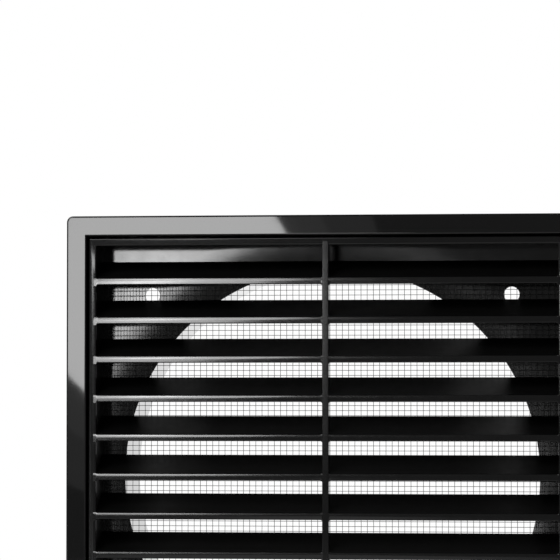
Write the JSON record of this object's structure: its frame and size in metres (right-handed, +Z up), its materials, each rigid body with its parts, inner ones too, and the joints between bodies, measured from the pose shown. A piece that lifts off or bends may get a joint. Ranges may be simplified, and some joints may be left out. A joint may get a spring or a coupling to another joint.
{
  "type": "square louvred wall vent",
  "caption": "Square black wall vent: flat frame, sloping louvre blades with a centre bar, insect mesh, and a round spigot behind for a duct.",
  "frame": {"origin": "centre of the wall face, on the axis of the duct spigot", "axes": "+Z up, the front with the louvres faces -Y, the spigot points along +Y into the wall"},
  "size_m": [0.15, 0.0435, 0.15],
  "materials": {
    "frame_plastic": "gloss",
    "panel_plastic": "gloss",
    "mesh": "woven"
  },
  "bodies": {
    "root": {"base_frame": "frame_plastic", "louvre_panel": "panel_plastic", "insect_mesh": "mesh"}
  },
  "joints": []
}
